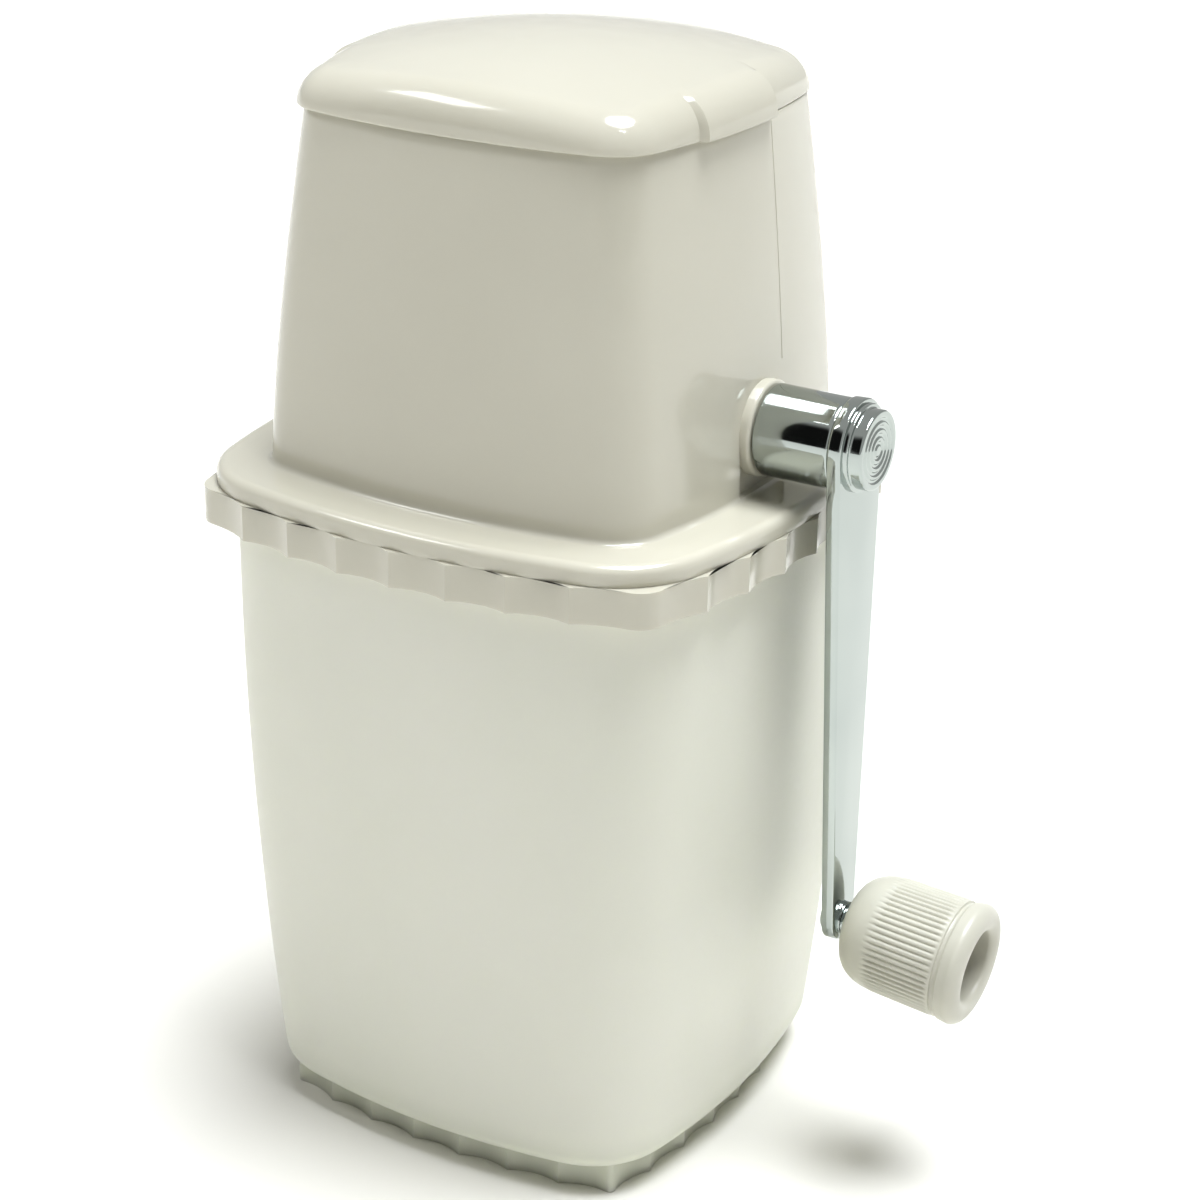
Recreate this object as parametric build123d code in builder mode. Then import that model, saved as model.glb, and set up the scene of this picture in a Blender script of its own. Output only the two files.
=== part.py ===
from build123d import *
import os
from math import cos, radians, sin, sqrt

os.makedirs("parts", exist_ok=True)

# Manual ice crusher. The frame's origin is the middle of the container's foot, on the table.
# +Z is up, the front faces -Y and the crank is on the +X side. All sizes are in millimetres.

# container
container_top = 144.7
container_half = 59.8
container_belly = 6.8
container_bulge = 6.5
container_corner = 25.0
container_foot_corner = 20.0
container_round = 4.0
container_wall = 2.2
container_floor = 2.6
foot_height = 7.0
foot_half = 49.2
foot_bulge = 5.5
foot_flutes = 7
foot_flute_depth = 1.5
foot_corner = 1.2
foot_recess = 1.2
foot_rim = 5.0
foot_pad_radius = 16.0
foot_overlap = 1.5
foot_recess_corner = 6.0

# collar and bead of the housing
collar_bottom = container_top
collar_top = 152.6
collar_half = 65.0
collar_bulge = 8.3
collar_corner = 6.0
collar_flute_pitch = 13.5
collar_cusp_pairs = 3
collar_flute_depth = 1.7
bead_top = 157.0
bead_half = 63.9
bead_corner = 23.5
bead_round = 2.1
bead_overlap = 0.6
skirt_bottom = 132.0
skirt_gap = 0.5
skirt_wall = 1.8

# hopper
hopper_bottom = bead_top
hopper_top = 234.4
hopper_half = 51.9
hopper_taper = 6.5
hopper_bulge = 6.0
hopper_corner = 12.0
hopper_wall = 2.4
seam_y = 9.0
seam_width = 0.5
seam_depth = 0.35
seam_gap = 2.0

# crank axis, along X
axis_height = 170.4
journal_radius = 4.0
running_clearance = 0.05
square_side = 8.0
drive_side = 6.0
boss_radius = 10.5
boss_face = 53.0
bush_radius = 7.0
bush_flange_radius = 10.0
bush_inner_face = 46.3
bush_flange_thickness = 1.6
end_screw_radius = 2.0
end_screw_length = 11.0
end_screw_head_radius = 4.2
end_screw_head_height = 2.4
end_washer_radius = 8.0
end_washer_thickness = 1.2
recess_depth = 1.0
boss_round = 0.8
end_play = 0.4
shaft_play = 0.3
cross_length = 4.6
cross_width = 0.9
cross_depth = 1.2
head_round = 1.2

# claw blades and combs
blade_count = 6
blade_pitch = 11.0
blade_thickness = 2.5
blade_tip_radius = 24.0
blade_hub_radius = 8.6
spacer_radius = 7.0
comb_tooth_width = 5.0
comb_thickness = 2.5
comb_top = 165.0
comb_root = 38.0
comb_back = 43.6
comb_tip = 9.2
comb_half_length = 37.5
blade_turn_step = 40
claw_count = 3
claw_root = 1.0
claw_back = 6.5
claw_front = 1.5
comb_screw_x = 30.0
comb_screw_y = 40.8
comb_screw_radius = 1.25
comb_hole_clearance = 0.25
comb_tooth_round = 1.6
comb_screw_head_radius = 2.4
comb_screw_head_height = 1.6
comb_screw_head_round = 0.6
comb_screw_lift = 0.6
comb_cross_length = 3.4
comb_cross_width = 0.7
comb_cross_depth = 0.9

# crank
hub_start = 53.4
hub_radius = 9.9
arm_face = 71.0
arm_thickness = 3.1
arm_round = 0.4
hub_round = 0.5
arm_top_radius = 10.4
arm_end_radius = 5.2
crank_radius = 113.6
crank_lean = 2.5
cap_face = 78.0
cap_radius = 8.6
cap_skirt_radius = 9.5
cap_skirt_length = 1.1
cap_skin = 1.2
cap_chamfer = 0.6
cap_groove_radii = (2.0, 3.7, 5.4, 7.0)
pin_radius = 2.5
pin_head_radius = 3.8
pin_head_height = 1.2
pin_head_round = 0.8
pin_collar_height = 0.7
pin_shoulder_radius = 3.4
knob_droop = 4.6
knob_play = 0.25
knob_start = 2.4
knob_end = 33.2
knob_dome_length = 9.5
knob_nose_radius = 4.4
knob_radius = 13.1
knob_mouth_radius = 13.4
knob_lip_radius = 13.9
knob_lip_length = 6.2
knob_bore_radius = 8.2
knob_web_end = 16.5
knob_screw_radius = 1.25
knob_screw_length = 7.0
knob_screw_head_radius = 4.0
knob_screw_head_height = 2.2
knob_washer_radius = 5.5
knob_washer_thickness = 0.8
thread_radius = 2.5
cap_groove_width = 0.8
cap_groove_depth = 0.4

# lid and its hinge
lid_top = 248.2
lid_wall = 2.3
lid_front_half = 46.0
lid_band_half = 47.6
lid_rear_half = 45.1
lid_corner = 12.0
lid_bulge = 5.0
lid_round = 9.0
lid_dome_radius = 210.0
lid_band_front = -20.2
lid_band_rear = 9.2
hinge_y = 49.2
hinge_z = 230.8
hinge_pin_radius = 1.5
hinge_knuckle_radius = 3.3
hinge_lid_half = 10.0
hinge_outer_half = 20.0
hinge_gap = 0.3
hinge_web_reach = 5.2
hinge_web_top = 2.6
lid_web_top = 7.0
lid_tail_height = 3.0
lid_tail_gap = 0.3
hinge_pin_chamfer = 0.3


def rounded_square(height, half, bulge, corner):
    # a square with bowed sides: half is the reach at the middle of a side, bulge is how far it bows
    chord = half - bulge
    with BuildSketch(Plane.XY.offset(height)) as level:
        with BuildLine():
            for turn in range(4):
                ThreePointArc(
                    Vector(-chord, -chord).rotate(Axis.Z, 90 * turn),
                    Vector(0, -half).rotate(Axis.Z, 90 * turn),
                    Vector(chord, -chord).rotate(Axis.Z, 90 * turn),
                )
        make_face()
        fillet(level.vertices(), corner)
    return level.sketch


def bow(x, half, bulge):
    # reach of a bowed side at the distance x from its middle
    chord = half - bulge
    radius = (chord**2 + bulge**2) / (2 * bulge)
    return half - radius + sqrt(radius**2 - x**2)


def fluted_square(height, half, bulge, corner, cusps, depth):
    # the same square with concave flutes between the cusps, which are given as places along a side
    chord = half - bulge
    stops = [-chord] + cusps + [chord]
    with BuildSketch(Plane.XY.offset(height)) as outline:
        with BuildLine():
            for turn in range(4):
                for start, end in zip(stops, stops[1:]):
                    middle = (start + end) / 2
                    ThreePointArc(
                        Vector(start, -bow(start, half, bulge)).rotate(Axis.Z, 90 * turn),
                        Vector(middle, depth - bow(middle, half, bulge)).rotate(Axis.Z, 90 * turn),
                        Vector(end, -bow(end, half, bulge)).rotate(Axis.Z, 90 * turn),
                    )
        make_face()
        corners = [v for v in outline.vertices() if abs(abs(v.X) - chord) + abs(abs(v.Y) - chord) < 0.01]
        fillet(corners, corner)
    return outline.sketch


def container_turn(height):
    # the corners are tighter at the foot than at the rim
    return container_foot_corner + (container_corner - container_foot_corner) * height / container_top


def container_reach(height):
    # the container narrows towards its foot along a parabola
    return container_half - container_belly * (1 - height / container_top) ** 2


def hopper_reach(height):
    # the hopper narrows towards its mouth
    share = (height - hopper_bottom) / (hopper_top - hopper_bottom)
    return hopper_half - hopper_taper * share**1.4


def hopper_form(inset):
    # the hopper's outside, or its inside when inset by the wall
    for share in (0, 0.2, 0.45, 0.7, 0.88, 1):
        level = hopper_bottom + share * (hopper_top - hopper_bottom)
        add(rounded_square(level, hopper_reach(level) - inset, hopper_bulge, hopper_corner - inset))
    loft()


def x_plane(x, y=0, z=axis_height):
    # a plane that faces +X, with its own x along +Y and its own y up
    return Plane(origin=(x, y, z), x_dir=(0, 1, 0), z_dir=(1, 0, 0))


def knuckle(start, end, web_from, web_to, web_low, web_high):
    # a hinge eye along X with a web that joins it to its wall
    web_middle = ((web_from + web_to) / 2, (web_low + web_high) / 2)
    with BuildPart() as eye:
        with BuildSketch(x_plane(start, hinge_y, hinge_z)):
            Circle(hinge_knuckle_radius)
            with Locations(web_middle):
                Rectangle(web_to - web_from, web_high - web_low)
        extrude(amount=end - start)
    return eye.part


# ---- container ----
with BuildPart() as container_inside:
    for level in (foot_height + container_floor, 24, 50, 90, container_top + 1):
        reach = container_reach(level) - container_wall
        add(rounded_square(level, reach, container_bulge, container_turn(level) - container_wall))
    loft()
    fillet(container_inside.faces().sort_by(Axis.Z)[0].edges(), container_round - 1)

with BuildPart() as container:
    for level in (foot_height, 22, 50, 90, container_top):
        add(rounded_square(level, container_reach(level), container_bulge, container_turn(level)))
    loft()
    fillet(container.faces().sort_by(Axis.Z)[0].edges(), container_round)
    foot_chord = foot_half - foot_bulge
    foot_cusps = [foot_chord * (2 * i / foot_flutes - 1) for i in range(1, foot_flutes)]
    add(fluted_square(0, foot_half, foot_bulge, foot_corner, foot_cusps, foot_flute_depth))
    extrude(amount=foot_height + foot_overlap)
    add(rounded_square(0, foot_half - foot_rim, foot_bulge, foot_recess_corner))
    extrude(amount=foot_recess, mode=Mode.SUBTRACT)
    with BuildSketch(Plane.XY):
        Circle(foot_pad_radius)
    extrude(amount=foot_recess)
    add(container_inside.part, mode=Mode.SUBTRACT)
container.part.label = "container"
export_step(container.part, "parts/container.step")

# ---- hopper housing ----
with BuildPart() as hopper_space:
    hopper_form(hopper_wall)

with BuildPart() as seam_core:
    hopper_form(seam_depth)

with BuildPart() as seam_lines:
    hopper_form(0)
    add(seam_core.part, mode=Mode.SUBTRACT)
    seam_bottom = axis_height + boss_radius + seam_gap
    with Locations((0, seam_y, (seam_bottom + hopper_top + 1) / 2)):
        Box(3 * hopper_half, seam_width, hopper_top + 1 - seam_bottom, mode=Mode.INTERSECT)

with BuildPart() as bead:
    add(rounded_square(collar_top - bead_overlap, bead_half, collar_bulge, bead_corner))
    extrude(amount=bead_top - collar_top + bead_overlap)
    fillet(bead.edges().group_by(Axis.Z)[0] + bead.edges().group_by(Axis.Z)[-1], bead_round)

with BuildPart() as side_boss:
    with BuildSketch(x_plane(0)):
        Circle(boss_radius)
    extrude(amount=boss_face, both=True)
    fillet(side_boss.edges(), boss_round)

with BuildPart() as comb_ledges:
    # two rails across the hopper's floor that carry the combs, trimmed to the curved wall
    hopper_form(1)
    rail_height = comb_top - comb_thickness - hopper_bottom
    with Locations((0, 0, hopper_bottom + rail_height / 2)):
        Box(2 * comb_half_length, 3 * hopper_half, rail_height, mode=Mode.INTERSECT)
        Box(3 * hopper_half, 2 * comb_root, rail_height, mode=Mode.SUBTRACT)

with BuildPart() as hopper_housing:
    hopper_form(0)
    add(side_boss.part)
    # the wall is set back under the crank boss, on the crank side only
    with BuildSketch(x_plane(hopper_reach(axis_height) - recess_depth)):
        with Locations((0, (bead_top - axis_height) / 2)):
            Rectangle(2 * boss_radius, axis_height - bead_top)
    extrude(amount=10, mode=Mode.SUBTRACT)
    collar_cusps = [collar_flute_pitch * i for i in range(-collar_cusp_pairs, collar_cusp_pairs + 1)]
    add(fluted_square(
        collar_bottom, collar_half, collar_bulge, collar_corner, collar_cusps, collar_flute_depth))
    extrude(amount=collar_top - collar_bottom)
    add(bead.part)
    skirt_half = container_half - container_wall - skirt_gap
    add(rounded_square(skirt_bottom, skirt_half, container_bulge, container_corner - container_wall))
    extrude(amount=collar_bottom - skirt_bottom)
    bore_corner = container_corner - container_wall - skirt_wall
    add(rounded_square(skirt_bottom, skirt_half - skirt_wall, container_bulge, bore_corner))
    extrude(amount=collar_top - skirt_bottom, mode=Mode.SUBTRACT)
    floor_half = hopper_half - hopper_wall
    add(rounded_square(collar_top - 1, floor_half, hopper_bulge, hopper_corner - hopper_wall))
    extrude(amount=hopper_bottom - collar_top + 1, mode=Mode.SUBTRACT)
    add(hopper_space.part, mode=Mode.SUBTRACT)
    add(comb_ledges.part)
    add(seam_lines.part, mode=Mode.SUBTRACT)
    # bores for the bushes, through both walls
    with BuildSketch(x_plane(0)):
        Circle(bush_radius)
    extrude(amount=boss_face + 1, both=True, mode=Mode.SUBTRACT)
    # screw holes for the combs
    with BuildSketch(Plane.XY.offset(hopper_bottom - 1)):
        with GridLocations(2 * comb_screw_x, 2 * comb_screw_y, 2, 2):
            Circle(comb_screw_radius)
    extrude(amount=rail_height + 1, mode=Mode.SUBTRACT)
    # hinge knuckles behind the mouth, with the pin pressed through them
    knuckle_start = hinge_lid_half + hinge_gap
    add(knuckle(knuckle_start, hinge_outer_half, -hinge_web_reach, 0, -hinge_knuckle_radius, hinge_web_top))
    add(knuckle(-hinge_outer_half, -knuckle_start, -hinge_web_reach, 0, -hinge_knuckle_radius, hinge_web_top))
    with BuildSketch(x_plane(-hinge_outer_half, hinge_y, hinge_z)):
        Circle(hinge_pin_radius)
    extrude(amount=2 * hinge_outer_half, mode=Mode.SUBTRACT)
hopper_housing.part.label = "hopper_housing"
export_step(hopper_housing.part, "parts/hopper_housing.step")

# ---- lid ----
def lid_form(half, top, edge_round):
    # a bowed square cut to a shallow dome, with its top edge rounded
    with BuildPart() as blank:
        add(rounded_square(hopper_top, half, lid_bulge, lid_corner))
        extrude(amount=top - hopper_top + 1)
        with Locations((0, 0, top - lid_dome_radius)):
            Sphere(lid_dome_radius, mode=Mode.INTERSECT)
        dome = blank.faces().sort_by(Axis.Z)[-1]
        fillet(dome.edges(), edge_round)
    return blank.part


def lid_slab(half, front, rear):
    # the part of a lid form between two planes across it
    with BuildPart() as slab:
        add(lid_form(half, lid_top, lid_round))
        with Locations((0, (front + rear) / 2, hopper_top)):
            Box(4 * half, rear - front, 4 * (lid_top - hopper_top), mode=Mode.INTERSECT)
    return slab.part


with BuildPart() as lid:
    # front, proud side bands and rear are one moulding in three widths
    add(lid_slab(lid_front_half, -2 * lid_front_half, lid_band_front))
    add(lid_slab(lid_band_half, lid_band_front, lid_band_rear))
    add(lid_slab(lid_rear_half, lid_band_rear, 2 * lid_rear_half))
    add(lid_form(lid_rear_half - lid_wall, lid_top - lid_wall, lid_round - lid_wall), mode=Mode.SUBTRACT)
    tail_length = hinge_y - lid_rear_half + lid_wall / 2
    add(knuckle(-hinge_lid_half, hinge_lid_half, -hinge_knuckle_radius, hinge_knuckle_radius, 0, lid_web_top))
    with Locations((0, hinge_y - tail_length / 2, hopper_top + lid_tail_gap + lid_tail_height / 2)):
        Box(2 * hinge_lid_half, tail_length, lid_tail_height)
    with BuildSketch(x_plane(-hinge_lid_half, hinge_y, hinge_z)):
        Circle(hinge_pin_radius + running_clearance)
    extrude(amount=2 * hinge_lid_half, mode=Mode.SUBTRACT)
lid.part.label = "lid"
export_step(lid.part, "parts/lid.step")

with BuildPart() as lid_hinge_pin:
    with BuildSketch(x_plane(-hinge_outer_half, hinge_y, hinge_z)):
        Circle(hinge_pin_radius)
    extrude(amount=2 * hinge_outer_half)
    chamfer(lid_hinge_pin.edges(), hinge_pin_chamfer)
lid_hinge_pin.part.label = "lid_hinge_pin"
export_step(lid_hinge_pin.part, "parts/lid_hinge_pin.step")


# ---- combs and their screws ----
def comb(side):
    # a steel plate on the rail, with teeth that reach between the blades; side is -1 at the front
    with BuildPart() as plate:
        with BuildSketch(Plane.XY.offset(comb_top - comb_thickness)) as outline:
            with Locations((0, side * (comb_root + comb_back) / 2)):
                Rectangle(2 * comb_half_length, comb_back - comb_root)
            with Locations((0, side * (comb_root + comb_tip) / 2)):
                with GridLocations(blade_pitch, 1, blade_count + 1, 1):
                    Rectangle(comb_tooth_width, comb_root - comb_tip)
            tips = outline.vertices().filter_by(lambda v: abs(v.Y) < comb_tip + 0.1)
            fillet(tips, comb_tooth_round)
            with Locations((-comb_screw_x, side * comb_screw_y), (comb_screw_x, side * comb_screw_y)):
                Circle(comb_screw_radius + comb_hole_clearance, mode=Mode.SUBTRACT)
        extrude(amount=comb_thickness)
    return plate.part


front_comb = comb(-1)
front_comb.label = "front_comb"
export_step(front_comb, "parts/front_comb.step")

rear_comb = comb(1)
rear_comb.label = "rear_comb"
export_step(rear_comb, "parts/rear_comb.step")

with BuildPart() as comb_screws:
    with BuildSketch(Plane.XY.offset(comb_top)):
        with GridLocations(2 * comb_screw_x, 2 * comb_screw_y, 2, 2):
            Circle(comb_screw_head_radius)
    extrude(amount=comb_screw_head_height)
    fillet(comb_screws.edges().group_by(Axis.Z)[-1], comb_screw_head_round)
    with BuildSketch(Plane.XY.offset(hopper_bottom + comb_screw_lift)):
        with GridLocations(2 * comb_screw_x, 2 * comb_screw_y, 2, 2):
            Circle(comb_screw_radius)
    extrude(amount=comb_top - hopper_bottom - comb_screw_lift)
    with BuildSketch(Plane.XY.offset(comb_top + comb_screw_head_height)):
        with GridLocations(2 * comb_screw_x, 2 * comb_screw_y, 2, 2):
            Rectangle(comb_cross_length, comb_cross_width)
            Rectangle(comb_cross_width, comb_cross_length)
    extrude(amount=-comb_cross_depth, mode=Mode.SUBTRACT)
comb_screws.part.label = "comb_screws"
export_step(comb_screws.part, "parts/comb_screws.step")


# ---- bearing bushes ----
def bush(side):
    # a flanged bush pressed into the side wall from inside; side is +1 at the crank
    with BuildPart() as sleeve:
        with BuildSketch(x_plane(side * bush_inner_face)):
            Circle(bush_radius)
        extrude(amount=side * (boss_face - bush_inner_face))
        with BuildSketch(x_plane(side * bush_inner_face)):
            Circle(bush_flange_radius)
        extrude(amount=side * bush_flange_thickness)
        with BuildSketch(x_plane(side * bush_inner_face)):
            Circle(journal_radius + running_clearance)
        extrude(amount=side * (boss_face - bush_inner_face), mode=Mode.SUBTRACT)
    return sleeve.part


crank_side_bush = bush(1)
crank_side_bush.label = "crank_side_bush"
export_step(crank_side_bush, "parts/crank_side_bush.step")

far_side_bush = bush(-1)
far_side_bush.label = "far_side_bush"
export_step(far_side_bush, "parts/far_side_bush.step")

# ---- rotor ----
arm_outside = arm_face + arm_thickness
blade_places = [blade_pitch * (i - (blade_count - 1) / 2) for i in range(blade_count)]
square_end = bush_inner_face - shaft_play

with BuildPart() as rotor_shaft:
    with BuildSketch(x_plane(-square_end)):
        Rectangle(square_side, square_side)
    extrude(amount=2 * square_end)
    with BuildSketch(x_plane(-boss_face - end_play)):
        Circle(journal_radius)
    extrude(amount=boss_face + end_play + hub_start)
    with BuildSketch(x_plane(hub_start)):
        Rectangle(drive_side, drive_side)
    extrude(amount=arm_outside - hub_start)
    with BuildSketch(x_plane(arm_outside)):
        Circle(thread_radius)
    extrude(amount=cap_face - cap_skin - arm_outside)
    with BuildSketch(x_plane(-boss_face - end_play)):
        Circle(end_screw_radius)
    extrude(amount=end_screw_length + 1, mode=Mode.SUBTRACT)
rotor_shaft.part.label = "rotor_shaft"
export_step(rotor_shaft.part, "parts/rotor_shaft.step")


def claw_blade(place, turn):
    # three hooked claws on a disc with a square hole, turned a step from its neighbour
    with BuildPart() as blade:
        with BuildSketch(x_plane(place - blade_thickness / 2)) as outline:
            Circle(blade_hub_radius)
            for claw in range(claw_count):
                with BuildSketch(Rotation(0, 0, turn + 360 * claw / claw_count), mode=Mode.PRIVATE) as hook:
                    with BuildLine():
                        # a convex back and a hollow front that meet in a point
                        tip = Vector(blade_tip_radius, 0)
                        back_root = Vector(0, claw_root - blade_hub_radius)
                        front_root = Vector(claw_root, blade_hub_radius - claw_root)
                        ThreePointArc(back_root, (0.62 * blade_tip_radius, -claw_back), tip)
                        ThreePointArc(tip, (0.6 * blade_tip_radius, claw_front), front_root)
                        Line(front_root, back_root)
                    make_face()
                add(hook.sketch)
            Rectangle(square_side, square_side, mode=Mode.SUBTRACT)
        extrude(amount=blade_thickness)
    return blade.part


for number, place in enumerate(blade_places, start=1):
    blade = claw_blade(place, blade_turn_step * number)
    blade.label = f"claw_blade_{number}"
    export_step(blade, f"parts/claw_blade_{number}.step")


def spacer(start, end):
    # a round collar with a square hole, on the shaft between two blades
    with BuildPart() as ring:
        with BuildSketch(x_plane(start)):
            Circle(spacer_radius)
            Rectangle(square_side, square_side, mode=Mode.SUBTRACT)
        extrude(amount=end - start)
    return ring.part


with BuildPart() as blade_spacers:
    for left, right in zip(blade_places, blade_places[1:]):
        add(spacer(left + blade_thickness / 2, right - blade_thickness / 2))
blade_spacers.part.label = "blade_spacers"
export_step(blade_spacers.part, "parts/blade_spacers.step")

with BuildPart() as end_spacers:
    outer_blade = blade_places[-1] + blade_thickness / 2
    add(spacer(outer_blade, square_end))
    add(spacer(-square_end, -outer_blade))
end_spacers.part.label = "end_spacers"
export_step(end_spacers.part, "parts/end_spacers.step")

with BuildPart() as end_washer:
    with BuildSketch(x_plane(-boss_face - end_play - end_washer_thickness)):
        Circle(end_washer_radius)
        Circle(end_screw_radius, mode=Mode.SUBTRACT)
    extrude(amount=end_washer_thickness)
end_washer.part.label = "end_washer"
export_step(end_washer.part, "parts/end_washer.step")

with BuildPart() as end_screw:
    head_face = -boss_face - end_play - end_washer_thickness
    with BuildSketch(x_plane(head_face)):
        Circle(end_screw_head_radius)
    extrude(amount=-end_screw_head_height)
    fillet(end_screw.edges().sort_by(Axis.X)[0], head_round)
    with BuildSketch(x_plane(head_face)):
        Circle(end_screw_radius)
    extrude(amount=end_screw_length)
    with BuildSketch(x_plane(head_face - end_screw_head_height)):
        Rectangle(cross_length, cross_width)
        Rectangle(cross_width, cross_length)
    extrude(amount=cross_depth, mode=Mode.SUBTRACT)
end_screw.part.label = "end_screw"
export_step(end_screw.part, "parts/end_screw.step")


# ---- crank ----
def crank_plane(x, reach=0):
    # a plane that faces +X in the crank's own frame, with its y up along the arm towards the shaft
    across = Vector(0, 1, 0).rotate(Axis.X, crank_lean)
    along = Vector(0, 0, 1).rotate(Axis.X, crank_lean)
    origin = Vector(x, 0, axis_height) - along * reach
    return Plane(origin=origin, x_dir=across, z_dir=(1, 0, 0))


with BuildPart() as crank_hub:
    with BuildSketch(crank_plane(hub_start)):
        Circle(hub_radius)
        Rectangle(drive_side, drive_side, rotation=-crank_lean, mode=Mode.SUBTRACT)
    extrude(amount=arm_face - hub_start)
    outer_rims = crank_hub.edges().filter_by(GeomType.CIRCLE)
    fillet(outer_rims, hub_round)
crank_hub.part.label = "crank_hub"
export_step(crank_hub.part, "parts/crank_hub.step")

with BuildPart() as cap_nut:
    with BuildSketch(Plane(origin=(0, 0, axis_height), x_dir=(1, 0, 0), z_dir=(0, -1, 0))):
        with BuildLine():
            skirt_end = arm_outside + cap_skirt_length
            Polyline(
                (arm_outside, 0), (arm_outside, cap_skirt_radius), (skirt_end, cap_skirt_radius),
                (skirt_end, cap_radius), (cap_face - cap_chamfer, cap_radius),
                (cap_face, cap_radius - cap_chamfer), (cap_face, 0), (arm_outside, 0))
        make_face()
    revolve(axis=Axis((0, 0, axis_height), (1, 0, 0)))
    for ring in cap_groove_radii:
        with BuildSketch(x_plane(cap_face)):
            Circle(ring)
            Circle(ring - cap_groove_width, mode=Mode.SUBTRACT)
        extrude(amount=-cap_groove_depth, mode=Mode.SUBTRACT)
    with BuildSketch(x_plane(arm_outside)):
        Circle(thread_radius)
    extrude(amount=cap_face - cap_skin - arm_outside, mode=Mode.SUBTRACT)
cap_nut.part.label = "cap_nut"
export_step(cap_nut.part, "parts/cap_nut.step")

# ---- knob and its pin ----
# The pin leans down from the arm by knob_droop. Places along it are measured from the arm's outer face.
crank_up = Vector(0, 0, 1).rotate(Axis.X, crank_lean)
pin_foot = Vector(arm_outside, 0, axis_height) - crank_up * crank_radius
pin_line = Vector(1, 0, 0) * cos(radians(knob_droop)) - crank_up * sin(radians(knob_droop))
pin_axis = Axis(pin_foot, pin_line)
washer_face = knob_web_end + knob_play
screw_face = washer_face + knob_washer_thickness


def pin_plane(place):
    # a plane across the pin
    return Plane(origin=pin_foot + pin_line * place, x_dir=crank_up.cross(pin_line), z_dir=pin_line)


def pin_section():
    # a plane along the pin for turned profiles: its x runs along the pin and its y outwards
    return Plane(origin=pin_foot, x_dir=pin_line, z_dir=pin_line.cross(crank_up))


with BuildPart() as crank_arm:
    with BuildSketch(crank_plane(arm_face)):
        Circle(arm_top_radius)
        with Locations((0, -crank_radius)):
            Circle(arm_end_radius)
        make_hull()
        Rectangle(drive_side, drive_side, rotation=-crank_lean, mode=Mode.SUBTRACT)
    extrude(amount=arm_thickness)
    arm_outline = crank_arm.faces().filter_by(Axis.X)
    fillet([e for f in arm_outline for e in f.outer_wire().edges()], arm_round)
    with BuildSketch(pin_plane(0)):
        Circle(pin_radius)
    extrude(amount=2 * arm_thickness, both=True, mode=Mode.SUBTRACT)
crank_arm.part.label = "crank_arm"
export_step(crank_arm.part, "parts/crank_arm.step")

with BuildPart() as knob_pin:
    # a flat head behind the arm, a flat collar in front of it, and the shank that leans
    with BuildSketch(crank_plane(arm_face, crank_radius)):
        Circle(pin_head_radius)
    extrude(amount=-pin_head_height)
    fillet(knob_pin.edges().sort_by(Axis.X)[0], pin_head_round)
    with BuildSketch(crank_plane(arm_outside, crank_radius)):
        Circle(pin_head_radius)
    extrude(amount=pin_collar_height)
    with BuildSketch(pin_plane(pin_collar_height)):
        Circle(pin_shoulder_radius)
    extrude(amount=knob_start - knob_play - pin_collar_height)
    with BuildSketch(pin_plane(-arm_thickness - pin_head_height / 2)):
        Circle(pin_radius)
    extrude(amount=arm_thickness + pin_head_height / 2 + washer_face)
    with BuildSketch(pin_plane(washer_face)):
        Circle(knob_screw_radius)
    extrude(amount=-knob_screw_length, mode=Mode.SUBTRACT)
knob_pin.part.label = "knob_pin"
export_step(knob_pin.part, "parts/knob_pin.step")

with BuildPart() as knob:
    with BuildSketch(pin_section()):
        with BuildLine():
            bore = pin_radius + running_clearance
            shoulder = knob_start + knob_dome_length
            neck = knob_end - knob_lip_length
            Line((knob_start, bore), (knob_start, knob_nose_radius))
            dome_middle = (knob_start + 0.36 * knob_dome_length, 0.78 * knob_radius)
            dome_end = (shoulder, knob_radius)
            Spline((knob_start, knob_nose_radius), dome_middle, dome_end, tangents=((0, 1), (1, 0)))
            Line(dome_end, (neck, knob_mouth_radius))
            # a rolled lip: out from the groove, over the outside, and into the bore
            lip_side = (neck + 2.0, knob_lip_radius)
            lip_face = (knob_end, knob_lip_radius - 3.6)
            lip_inside = (knob_end - 1.4, knob_bore_radius)
            ThreePointArc((neck, knob_mouth_radius), (neck + 1.1, knob_mouth_radius + 0.15), lip_side)
            ThreePointArc(lip_side, (knob_end - 0.8, knob_lip_radius - 1.2), lip_face)
            ThreePointArc(lip_face, (knob_end - 0.35, knob_bore_radius + 0.5), lip_inside)
            Line(lip_inside, (knob_web_end, knob_bore_radius))
            Line((knob_web_end, knob_bore_radius), (knob_web_end, bore))
            Line((knob_web_end, bore), (knob_start, bore))
        make_face()
    revolve(axis=pin_axis)
knob.part.label = "knob"
export_step(knob.part, "parts/knob.step")

with BuildPart() as knob_washer:
    with BuildSketch(pin_plane(washer_face)):
        Circle(knob_washer_radius)
        Circle(knob_screw_radius, mode=Mode.SUBTRACT)
    extrude(amount=knob_washer_thickness)
knob_washer.part.label = "knob_washer"
export_step(knob_washer.part, "parts/knob_washer.step")

with BuildPart() as knob_screw:
    with BuildSketch(pin_plane(screw_face)):
        Circle(knob_screw_head_radius)
    extrude(amount=knob_screw_head_height)
    fillet(knob_screw.edges().sort_by(Axis.X)[-1], head_round)
    with BuildSketch(pin_plane(screw_face)):
        Circle(knob_screw_radius)
    extrude(amount=-knob_screw_length)
    with BuildSketch(pin_plane(screw_face + knob_screw_head_height)):
        Rectangle(cross_length, cross_width)
        Rectangle(cross_width, cross_length)
    extrude(amount=-cross_depth, mode=Mode.SUBTRACT)
knob_screw.part.label = "knob_screw"
export_step(knob_screw.part, "parts/knob_screw.step")
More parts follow.
